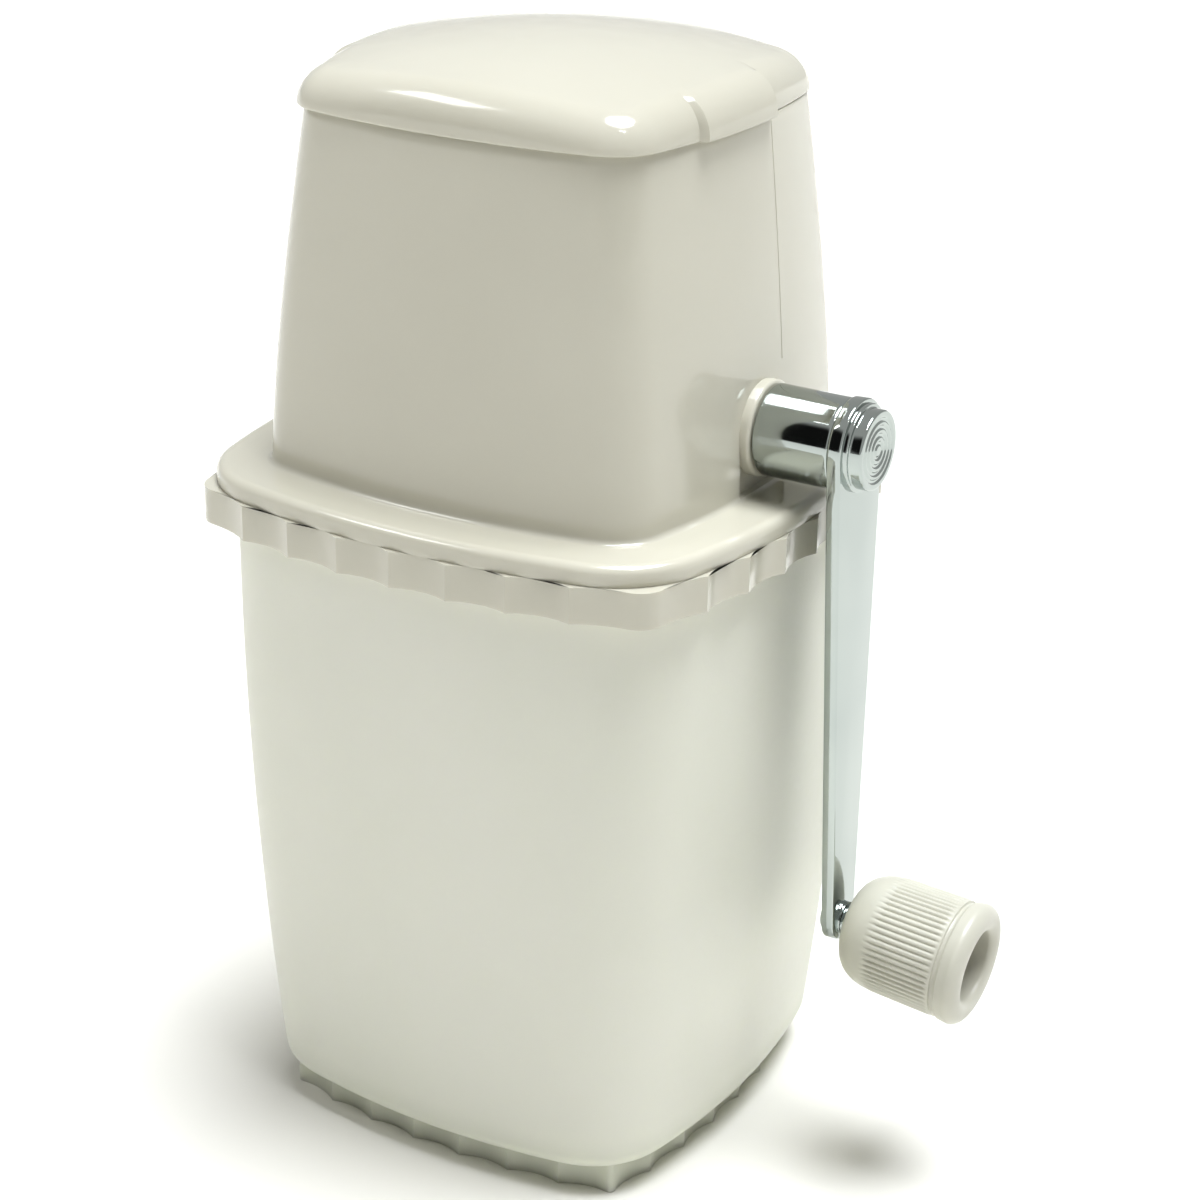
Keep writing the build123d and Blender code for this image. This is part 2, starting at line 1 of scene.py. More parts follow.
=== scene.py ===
import bpy
import bmesh
import math
import numpy as np
from mathutils import Matrix, Vector


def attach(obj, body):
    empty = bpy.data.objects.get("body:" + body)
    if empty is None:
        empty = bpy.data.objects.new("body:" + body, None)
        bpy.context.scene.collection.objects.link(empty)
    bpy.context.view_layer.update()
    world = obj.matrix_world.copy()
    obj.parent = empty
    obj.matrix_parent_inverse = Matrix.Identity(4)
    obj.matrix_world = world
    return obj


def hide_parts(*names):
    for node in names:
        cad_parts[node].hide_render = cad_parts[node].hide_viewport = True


# A hand-cranked ice crusher. Lengths in the dictionaries are in millimetres, and the meshes are in metres.
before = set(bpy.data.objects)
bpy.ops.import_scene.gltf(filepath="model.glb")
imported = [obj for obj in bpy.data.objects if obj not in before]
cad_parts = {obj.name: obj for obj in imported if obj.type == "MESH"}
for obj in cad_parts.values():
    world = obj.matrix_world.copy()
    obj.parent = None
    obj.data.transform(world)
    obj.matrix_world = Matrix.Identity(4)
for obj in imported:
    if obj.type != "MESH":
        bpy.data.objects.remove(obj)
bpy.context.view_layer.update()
mm = 0.001
print("frame loaded:", len(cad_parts), "parts")


# from grids of points to meshes

def gridFaces(rows, cols, closedRows):
    # one quad between each pair of neighbouring rows and columns; the columns close on themselves
    r = np.arange(rows if closedRows else rows - 1)[:, None]
    c = np.arange(cols)[None, :]
    nextRow = (r + 1) % rows
    nextCol = (c + 1) % cols
    corners = [r * cols + c, r * cols + nextCol, nextRow * cols + nextCol, nextRow * cols + c]
    quads = np.stack(corners, axis=-1)
    return quads.reshape(-1, 4)


def poleFaces(ring, pole, flip):
    # a fan of triangles from a ring of points to one point
    a, b = ring, np.roll(ring, -1)
    tip = np.full_like(ring, pole)
    return np.stack([b, a, tip] if flip else [a, b, tip], axis=-1)


def gridMesh(name, points, ends):
    # points: rows x columns x 3 in millimetres; ends "ring" closes the rows too, "poles" caps both ends
    rows, cols = points.shape[:2]
    verts = [points.reshape(-1, 3)]
    faces = gridFaces(rows, cols, ends == "ring").tolist()
    if ends == "poles":
        first = np.arange(cols)
        last = first + (rows - 1) * cols
        verts.append(np.stack([points[0].mean(axis=0), points[-1].mean(axis=0)]))
        faces += poleFaces(first, rows * cols, True).tolist()
        faces += poleFaces(last, rows * cols + 1, False).tolist()
    mesh = bpy.data.meshes.new(name)
    mesh.from_pydata((np.concatenate(verts) * mm).tolist(), [], faces)
    work = bmesh.new()
    work.from_mesh(mesh)
    bmesh.ops.remove_doubles(work, verts=work.verts, dist=0.001 * mm)
    bmesh.ops.recalc_face_normals(work, faces=work.faces)
    work.to_mesh(mesh)
    work.free()
    return mesh


def combine(mesh, steps):
    # steps: pairs of "UNION" or "DIFFERENCE" and a closed mesh, worked one after another
    base = bpy.data.objects.new("combineBase", mesh)
    bpy.context.scene.collection.objects.link(base)
    for operation, other in steps:
        tool = bpy.data.objects.new("combineTool", other)
        bpy.context.scene.collection.objects.link(tool)
        cut = base.modifiers.new("cut", "BOOLEAN")
        cut.operation = operation
        cut.solver = "EXACT"
        cut.object = tool
        graph = bpy.context.evaluated_depsgraph_get()
        result = bpy.data.meshes.new_from_object(base.evaluated_get(graph))
        base.modifiers.clear()
        base.data = result
        bpy.data.objects.remove(tool)
    result = base.data
    bpy.data.objects.remove(base)
    return result


def finishPiece(name, mesh, material, sharpAngle=32, bevel=None):
    # merged, turned outwards, smooth with crisp edges past the angle, and bevelled where asked
    work = bmesh.new()
    work.from_mesh(mesh)
    bmesh.ops.remove_doubles(work, verts=work.verts, dist=0.002 * mm)
    bmesh.ops.dissolve_degenerate(work, edges=work.edges, dist=0.001 * mm)
    bmesh.ops.recalc_face_normals(work, faces=work.faces)
    work.to_mesh(mesh)
    work.free()
    mesh.polygons.foreach_set("use_smooth", np.ones(len(mesh.polygons), dtype=bool))
    mesh.set_sharp_from_angle(angle=math.radians(sharpAngle))
    mesh.materials.clear()
    mesh.materials.append(material)
    piece = bpy.data.objects.new(name, mesh)
    bpy.context.scene.collection.objects.link(piece)
    if bevel:
        modifier = piece.modifiers.new("softEdges", "BEVEL")
        modifier.width = bevel * mm
        modifier.segments = 2
        modifier.limit_method = "ANGLE"
        modifier.angle_limit = math.radians(35)
        modifier.harden_normals = True
    return piece


def settle(piece, body, nodes):
    # the calls that place a piece in the frame
    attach(piece, body)
    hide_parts(*nodes)


def refined(node, body, material, bevel=0.15, sharpAngle=30):
    # a smooth, bevelled copy of a plain part
    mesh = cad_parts[node].data.copy()
    settle(finishPiece(node + "Finished", mesh, material, sharpAngle, bevel), body, [node])


# outlines and turned shapes

def squareOutline(half, bulge, corner, params, cornerSteps=10):
    # A square with bowed sides. Each side is an arc that reaches half at its middle and falls back by bulge
    # at the ends of its chord; its centre lies half minus the arc's radius from the middle. Each corner is an
    # arc of radius corner that touches both sides from inside. params says, for the front, right, rear and
    # left side, where its points lie between -1 and 1. Returns the points and their outward normals.
    half, bulge, corner = (np.asarray(v, dtype=float)[..., None] for v in (half, bulge, corner))
    chord = half - bulge
    radius = (chord**2 + bulge**2) / (2 * bulge)
    back = half - radius
    centre = (2 * back + np.sqrt(4 * back**2 - 8 * (back**2 - (radius - corner) ** 2))) / 4
    end = np.arctan2(back - centre, centre)
    sweep = np.linspace(0, 1, cornerSteps + 2)[1:-1]
    points, normals = [], []
    for turn, side in enumerate(params):
        angle = -math.pi / 2 + side * (end + math.pi / 2)
        along = radius * np.cos(angle), radius * np.sin(angle) - back
        turnAngle = end + sweep * (-math.pi / 2 - 2 * end)
        around = centre + corner * np.cos(turnAngle), corner * np.sin(turnAngle) - centre
        x = np.concatenate([along[0], around[0]], axis=-1)
        y = np.concatenate([along[1], around[1]], axis=-1)
        facing = np.concatenate([angle, turnAngle + 0 * angle[..., :1]], axis=-1) + turn * math.pi / 2
        c, s = math.cos(turn * math.pi / 2), math.sin(turn * math.pi / 2)
        points.append(np.stack([c * x - s * y, s * x + c * y], axis=-1))
        normals.append(np.stack([np.cos(facing), np.sin(facing)], axis=-1))
    return np.concatenate(points, axis=-2), np.concatenate(normals, axis=-2)


def evenSides(steps):
    # the same even points on all four sides
    return [np.linspace(-1, 1, steps)] * 4


def bowedReach(x, half, bulge):
    # how far a bowed side reaches at the distance x from its middle
    chord = half - bulge
    radius = (chord**2 + bulge**2) / (2 * bulge)
    return half - radius + np.sqrt(radius**2 - x**2)


def flutedOutline(half, bulge, corner, cusps, depth, fluteSteps, cornerSteps=10):
    # The same square with hollow flutes. Each flute is an arc through two neighbouring cusps on the bowed
    # side and a point depth inside the side midway between them. The corner arc touches the last flutes from
    # outside them, so its centre lies on the diagonal, one flute radius plus one corner radius from the
    # centre of the flute.
    chord = half - bulge
    stops = np.concatenate([[-chord], cusps, [chord]])
    middle = (stops[:-1] + stops[1:]) / 2
    a = np.stack([stops[:-1], -bowedReach(stops[:-1], half, bulge)], axis=-1)
    b = np.stack([stops[1:], -bowedReach(stops[1:], half, bulge)], axis=-1)
    m = np.stack([middle, depth - bowedReach(middle, half, bulge)], axis=-1)
    span = b - a
    length = np.linalg.norm(span, axis=-1)
    inward = np.stack([-span[:, 1], span[:, 0]], axis=-1) / length[:, None]
    sagitta = ((m - (a + b) / 2) * inward).sum(axis=-1)
    fluteRadius = (length**2 / 4 + sagitta**2) / (2 * sagitta)
    centre = (a + b) / 2 + inward * (sagitta - fluteRadius)[:, None]
    halfAngle = np.arcsin(length / 2 / fluteRadius)
    tilt = np.arctan2(inward[:, 1], inward[:, 0])
    # the last flute stops where the corner arc touches it
    cx, cy = centre[-1]
    reach = fluteRadius[-1] + corner
    k = ((cx - cy) - math.sqrt(2 * reach**2 - (cx + cy) ** 2)) / 2
    touch = math.atan2(-k - cy, k - cx)
    startAngles = tilt + halfAngle
    endAngles = tilt - halfAngle
    endAngles[-1] = touch
    startAngles[0] = math.pi - touch
    share = np.linspace(0, 1, fluteSteps + 1)[None, :]
    angle = startAngles[:, None] + (endAngles - startAngles)[:, None] * share
    spokes = np.stack([np.cos(angle), np.sin(angle)], axis=-1)
    flutes = centre[:, None, :] + fluteRadius[:, None, None] * spokes
    side = np.concatenate([flutes[:, :-1].reshape(-1, 2), flutes[-1:, -1]])
    first = touch - math.pi
    sweep = np.linspace(0, 1, cornerSteps + 2)[1:-1]
    cornerAngle = first + sweep * (-math.pi / 2 - 2 * first)
    corners = np.array([k, -k]) + corner * np.stack([np.cos(cornerAngle), np.sin(cornerAngle)], axis=-1)
    quarter = np.concatenate([side, corners])
    turns = [(math.cos(t * math.pi / 2), math.sin(t * math.pi / 2)) for t in range(4)]
    rotated = [quarter @ np.array([[c, s], [-s, c]]) for c, s in turns]
    return np.concatenate(rotated)


def raised(outline, height):
    # outline points with a height added: one number for them all, or one for each row
    z = np.asarray(height, dtype=float)
    z = np.broadcast_to(z[..., None] if z.ndim == outline.ndim - 2 else z, outline.shape[:-1])[..., None]
    return np.concatenate([outline, z], axis=-1)


def turned(profile, origin, axis, up, cols, reshape=None):
    # A profile of (place along the axis, radius) turned about the axis: each point is the origin plus the
    # axis times its place plus the radius times (up cos t + across sin t). reshape may change the radius by
    # place and angle.
    profile = np.asarray(profile, dtype=float)
    axis = np.array(axis) / np.linalg.norm(axis)
    up = np.array(up) - axis * np.dot(up, axis)
    up = up / np.linalg.norm(up)
    across = np.cross(axis, up)
    t = np.linspace(0, 2 * math.pi, cols, endpoint=False)
    spoke = np.cos(t)[:, None] * up + np.sin(t)[:, None] * across
    radius = profile[:, 1][:, None] * np.ones(cols)
    if reshape is not None:
        radius = reshape(profile[:, 0][:, None], t[None, :], radius)
    return np.array(origin) + profile[:, 0][:, None, None] * axis + radius[..., None] * spoke


def smoothStep(t):
    # 0 below 0, 1 above 1, and 3t^2 - 2t^3 between
    t = np.clip(t, 0, 1)
    return t**2 * (3 - 2 * t)


def arc(centre, radius, start, end, steps):
    # points on a circle, angles in degrees
    t = np.radians(np.linspace(start, end, steps))
    return np.stack([centre[0] + radius * np.cos(t), centre[1] + radius * np.sin(t)], axis=-1)


# materials

def nodeMaterial(name, baseColor, roughness, metallic=0.0):
    material = bpy.data.materials.new(name)
    material.use_nodes = True
    shader = material.node_tree.nodes["Principled BSDF"]
    shader.inputs["Base Color"].default_value = (*baseColor, 1)
    shader.inputs["Roughness"].default_value = roughness
    shader.inputs["Metallic"].default_value = metallic
    return material, material.node_tree, shader


def link(tree, source, output, target, entry):
    tree.links.new(source.outputs[output], target.inputs[entry])


def objectNoise(tree, scale, stretch=(1, 1, 1), detail=4.0):
    # noise on object coordinates, in cycles per metre times stretch
    place = tree.nodes.new("ShaderNodeTexCoord")
    mapping = tree.nodes.new("ShaderNodeMapping")
    mapping.inputs["Scale"].default_value = stretch
    noise = tree.nodes.new("ShaderNodeTexNoise")
    noise.inputs["Scale"].default_value = scale
    noise.inputs["Detail"].default_value = detail
    link(tree, place, "Object", mapping, "Vector")
    link(tree, mapping, "Vector", noise, "Vector")
    return noise


def addTint(tree, shader, noise, low, high, span=(0.35, 0.65)):
    # the base colour drifts between two close tones
    ramp = tree.nodes.new("ShaderNodeValToRGB")
    ramp.color_ramp.elements[0].position, ramp.color_ramp.elements[1].position = span
    ramp.color_ramp.elements[0].color = (*low, 1)
    ramp.color_ramp.elements[1].color = (*high, 1)
    link(tree, noise, "Fac", ramp, "Fac")
    link(tree, ramp, "Color", shader, "Base Color")
    return ramp


def addRoughness(tree, shader, noise, low, high):
    spread = tree.nodes.new("ShaderNodeMapRange")
    spread.inputs["From Min"].default_value = 0.3
    spread.inputs["From Max"].default_value = 0.7
    spread.inputs["To Min"].default_value = low
    spread.inputs["To Max"].default_value = high
    link(tree, noise, "Fac", spread, "Value")
    link(tree, spread, "Result", shader, "Roughness")


def addBump(tree, shader, noise, height, strength=1.0):
    # height in millimetres
    bump = tree.nodes.new("ShaderNodeBump")
    bump.inputs["Strength"].default_value = strength
    bump.inputs["Distance"].default_value = height * mm
    link(tree, noise, "Fac", bump, "Height")
    link(tree, bump, "Normal", shader, "Normal")


def glossPlasticMaterial():
    # warm white moulded plastic: glossy, with a faint moulding ripple and drifting tone
    look = {"low": (0.515, 0.496, 0.41), "high": (0.545, 0.526, 0.438), "rough": (0.12, 0.19)}
    material, tree, shader = nodeMaterial("glossWhitePlastic", look["high"], 0.16)
    shader.inputs["IOR"].default_value = 1.5
    shader.inputs["Coat Weight"].default_value = 0.25
    shader.inputs["Coat Roughness"].default_value = 0.06
    shader.inputs["Subsurface Weight"].default_value = 0.12
    shader.inputs["Subsurface Radius"].default_value = (0.004, 0.0035, 0.003)
    shader.inputs["Subsurface Scale"].default_value = 1.0
    addTint(tree, shader, objectNoise(tree, 14, detail=2), look["low"], look["high"])
    addRoughness(tree, shader, objectNoise(tree, 160), *look["rough"])
    addBump(tree, shader, objectNoise(tree, 45, detail=1.5), 0.12, 0.35)
    return material


def frostedPlasticMaterial():
    # translucent plastic with a fine matt grain, and painted shade: a darker tone on the foot and the body's
    # rounded bottom edge, fading out between 6 and 17 mm up
    # the foot tone is painted shade, standing in for the shade under the body's overhang
    look = {"wall": (0.775, 0.79, 0.635), "wallLight": (0.80, 0.81, 0.66), "foot": (0.66, 0.68, 0.55)}
    material, tree, shader = nodeMaterial("frostedPlastic", look["wall"], 0.5)
    shader.inputs["IOR"].default_value = 1.49
    shader.inputs["Subsurface Weight"].default_value = 0.45
    shader.inputs["Subsurface Radius"].default_value = (0.011, 0.012, 0.009)
    shader.inputs["Subsurface Scale"].default_value = 1.0
    shader.inputs["Sheen Weight"].default_value = 0.06
    ramp = addTint(tree, shader, objectNoise(tree, 22, (1, 1, 0.6), 3), look["wall"], look["wallLight"])
    # painted shade: below 17 mm the colour fades to the darker foot tone
    place = tree.nodes.new("ShaderNodeTexCoord")
    split = tree.nodes.new("ShaderNodeSeparateXYZ")
    link(tree, place, "Object", split, "Vector")
    shadeFade = tree.nodes.new("ShaderNodeMapRange")
    shadeFade.interpolation_type = "SMOOTHSTEP"
    shadeFade.inputs["From Min"].default_value = 6 * mm
    shadeFade.inputs["From Max"].default_value = 17 * mm
    link(tree, split, "Z", shadeFade, "Value")
    mix = tree.nodes.new("ShaderNodeMix")
    mix.data_type = "RGBA"
    tree.links.new(shadeFade.outputs["Result"], mix.inputs[0])
    tree.links.new(ramp.outputs["Color"], mix.inputs[7])
    mix.inputs[6].default_value = (*look["foot"], 1)
    tree.links.new(mix.outputs[2], shader.inputs["Base Color"])
    addRoughness(tree, shader, objectNoise(tree, 500), 0.42, 0.56)
    addBump(tree, shader, objectNoise(tree, 1500, detail=3), 0.05, 0.5)
    return material


def satinPlasticMaterial():
    # the knob: off-white, satin from handling
    material, tree, shader = nodeMaterial("satinPlastic", (0.64, 0.63, 0.55), 0.35)
    shader.inputs["Subsurface Weight"].default_value = 0.15
    shader.inputs["Subsurface Radius"].default_value = (0.003, 0.0028, 0.0024)
    shader.inputs["Subsurface Scale"].default_value = 1.0
    addTint(tree, shader, objectNoise(tree, 60, detail=3), (0.50, 0.49, 0.415), (0.545, 0.535, 0.46))
    addRoughness(tree, shader, objectNoise(tree, 350), 0.28, 0.42)
    addBump(tree, shader, objectNoise(tree, 900), 0.03, 0.4)
    return material


def nylonMaterial():
    # natural nylon: slightly yellow and waxy
    material, tree, shader = nodeMaterial("naturalNylon", (0.72, 0.70, 0.62), 0.42)
    shader.inputs["Subsurface Weight"].default_value = 0.3
    shader.inputs["Subsurface Radius"].default_value = (0.003, 0.003, 0.002)
    shader.inputs["Subsurface Scale"].default_value = 1.0
    addTint(tree, shader, objectNoise(tree, 120), (0.66, 0.64, 0.56), (0.73, 0.71, 0.64))
    addBump(tree, shader, objectNoise(tree, 1100), 0.03, 0.4)
    return material


def chromeMaterial():
    # bright plate over a polished base: nearly a mirror, with a slight waviness and fine wipe marks
    material, tree, shader = nodeMaterial("chromePlate", (0.42, 0.46, 0.45), 0.06, 1.0)
    addTint(tree, shader, objectNoise(tree, 30, detail=2), (0.395, 0.435, 0.42), (0.44, 0.48, 0.46))
    addRoughness(tree, shader, objectNoise(tree, 260, (1, 1, 0.12), 6), 0.035, 0.10)
    addBump(tree, shader, objectNoise(tree, 95, detail=2), 0.05, 0.22)
    return material


def steelMaterial(name, tone, grain):
    # ground stainless: a straight grain in the bump and in the roughness; grain stretches the noise
    material, tree, shader = nodeMaterial(name, tone, 0.3, 1.0)
    lighter = tuple(min(value + 0.07, 1) for value in tone)
    addTint(tree, shader, objectNoise(tree, 90, grain, 5), tone, lighter)
    addRoughness(tree, shader, objectNoise(tree, 420, grain, 6), 0.2, 0.4)
    addBump(tree, shader, objectNoise(tree, 700, grain, 4), 0.02, 0.5)
    return material


finishes = {
    "gloss": glossPlasticMaterial(),
    "frosted": frostedPlasticMaterial(),
    "satin": satinPlasticMaterial(),
    "nylon": nylonMaterial(),
    "chrome": chromeMaterial(),
    "blade": steelMaterial("bladeSteel", (0.56, 0.57, 0.58), (1, 0.15, 1)),
    "fastener": steelMaterial("fastenerSteel", (0.62, 0.63, 0.64), (1, 1, 0.4)),
}
print("materials made:", len(finishes))


# the container

containerShape = {
    "top": 144.7, "half": 59.8, "belly": 6.8, "bulge": 6.5, "cornerTop": 25.0, "cornerFoot": 20.0,
    "round": 4.0, "wall": 2.2, "floor": 2.6, "rimRound": 0.6, "rimSpare": 1.4,
    "footHeight": 7.0, "footHalf": 49.2, "footBulge": 5.5, "footFlutes": 7, "footDepth": 1.5,
    "footCorner": 1.2, "footOverlap": 1.5, "footRim": 5.0, "footRecess": 1.2, "recessCorner": 6.0,
    "padRadius": 16.0}


def containerOutline(z, inset, columns):
    # the wall's outline at each height: the reach grows from the foot along a parabola
    c = containerShape
    reach = c["half"] - c["belly"] * (1 - z / c["top"]) ** 2
    corner = c["cornerFoot"] + (c["cornerTop"] - c["cornerFoot"]) * z / c["top"]
    outline, outward = squareOutline(reach, np.full_like(z, c["bulge"]), corner, columns)
    return raised(outline - outward * np.asarray(inset)[:, None, None], z)


def makeContainer():
    # the profile runs from the middle of the floor up the inside, over the rim and down the outside
    c = containerShape
    columns = evenSides(34)
    floorZ = c["footHeight"] + c["floor"]
    inner = c["round"] - 1
    insideRound = arc((c["wall"] + inner, floorZ + inner), inner, 270, 180, 8)
    insideZ = np.linspace(floorZ + c["round"], c["top"] - c["rimRound"], 40)
    insideUp = np.stack([np.full_like(insideZ, c["wall"]), insideZ], -1)
    rimIn = arc((c["wall"] - c["rimRound"], c["top"] - c["rimRound"]), c["rimRound"], 0, 90, 5)
    rimOut = arc((c["rimRound"], c["top"] - c["rimRound"]), c["rimRound"], 90, 180, 5)
    outsideZ = np.linspace(c["top"] - c["rimSpare"], c["footHeight"] + c["round"] + 1, 44)
    outsideDown = np.stack([np.zeros_like(outsideZ), outsideZ], -1)
    outsideRound = arc((c["round"], c["footHeight"] + c["round"]), c["round"], 180, 270, 10)
    path = np.concatenate([insideRound, insideUp, rimIn, rimOut, outsideDown, outsideRound])
    rings = containerOutline(path[:, 1], path[:, 0], columns)
    shrink = np.linspace(0.15, 0.9, 6)[:, None, None]
    floorRings = rings[0][None] * [1, 1, 0] * shrink + np.array([0, 0, floorZ])
    underRings = rings[-1][None] * [1, 1, 0] * shrink[::-1] + np.array([0, 0, c["footHeight"]])
    body = gridMesh("containerBody", np.concatenate([floorRings, rings, underRings]), "poles")
    # the foot: a fluted ring standing under the body, hollow inside its rim, with a pad in the middle
    chord = c["footHalf"] - c["footBulge"]
    cusps = chord * (2 * np.arange(1, c["footFlutes"]) / c["footFlutes"] - 1)
    fluted = flutedOutline(c["footHalf"], c["footBulge"], c["footCorner"], cusps, c["footDepth"], 8, 4)
    levels = np.linspace(c["footHeight"] + c["footOverlap"], 0, 5)
    foot = gridMesh("containerFoot", np.stack([raised(fluted, z) for z in levels]), "poles")
    recessHalf = c["footHalf"] - c["footRim"]
    recess = squareOutline(recessHalf, c["footBulge"], c["recessCorner"], evenSides(24))[0]
    hollowRings = np.stack([raised(recess, z) for z in (-1, c["footRecess"])])
    hollow = gridMesh("footHollow", hollowRings, "poles")
    padProfile = [(0, c["padRadius"]), (c["footRecess"] + 1, c["padRadius"])]
    pad = gridMesh("footPad", turned(padProfile, (0, 0, 0), (0, 0, 1), (1, 0, 0), 64), "poles")
    mesh = combine(body, [("UNION", foot), ("DIFFERENCE", hollow), ("UNION", pad)])
    piece = finishPiece("containerShell", mesh, finishes["frosted"], 30, 0.35)
    settle(piece, "container", ["container"])


makeContainer()
print("container made")


# the hopper housing: hopper, bead, fluted collar and skirt in one moulding

housingShape = {
    "hopperBottom": 157.0, "hopperTop": 234.4, "hopperHalf": 51.9, "taper": 6.5, "hopperBulge": 6.0,
    "hopperCorner": 12.0, "wall": 2.4,
    "beadHalf": 63.9, "beadBulge": 8.3, "beadCorner": 23.5, "beadRound": 2.1,
    "collarTop": 152.6, "collarBottom": 144.7, "collarHalf": 65.0, "collarBulge": 8.3, "collarCorner": 6.0,
    "cuspPitch": 13.5, "cuspPairs": 3, "fluteDepth": 1.7, "skirtBottom": 132.0, "skirtHalf": 57.1,
    "skirtBulge": 6.5, "skirtCorner": 22.8, "skirtWall": 1.8, "shelf": 1.0, "footFillet": 1.3,
    "seamY": 9.0, "seamWidth": 0.5, "seamDepth": 0.12, "seamBottom": 182.9,
    "railHalf": 37.5, "railInside": 38.0, "railTop": 162.5,
    "bossRadius": 10.5, "bossFace": 53.0, "bossRound": 0.8, "bossLength": 5.2, "bushRadius": 7.0,
    "recessDepth": 1.0, "recessReach": 8.0, "mouthEdge": 0.15, "mouthShoulder": 0.5, "taperPower": 1.4,
    "shelfInsets": (7.5, 5.0, 2.5), "beadUnder": ((0.0, 1.2), (0.05, 0.6), (0.2, 0.0)), "railRoot": 1.2}
hinge = {"y": 49.2, "z": 230.8, "pin": 1.5, "eye": 3.3, "lidHalf": 10.0, "outer": 20.0, "gap": 0.3,
         "webReach": 5.2, "webTop": 2.6, "lidWebTop": 7.0, "play": 0.05}
axle = {"z": 170.4}


def hopperReach(z):
    # the hopper narrows towards its mouth, faster near the top
    h = housingShape
    share = np.clip((z - h["hopperBottom"]) / (h["hopperTop"] - h["hopperBottom"]), 0, 1)
    return h["hopperHalf"] - h["taper"] * share ** h["taperPower"]


def eyeOutline(radius, webFrom, webTo, webLow, webHigh):
    # a hinge eye in the Y-Z plane: a circle with a web to one side
    t = np.linspace(0, 2 * math.pi, 40, endpoint=False)
    circle = np.stack([hinge["y"] + radius * np.cos(t), hinge["z"] + radius * np.sin(t)], axis=-1)
    corners = np.array([(webFrom, webLow), (webTo, webLow), (webTo, webHigh), (webFrom, webHigh)])
    return circle, corners + np.array([hinge["y"], hinge["z"]])


def alongX(outline, start, end, name):
    # a Y-Z outline carried from one X to another
    slices = [np.insert(outline.astype(float), 0, x, axis=1) for x in (start, end)]
    return gridMesh(name, np.stack(slices), "poles")


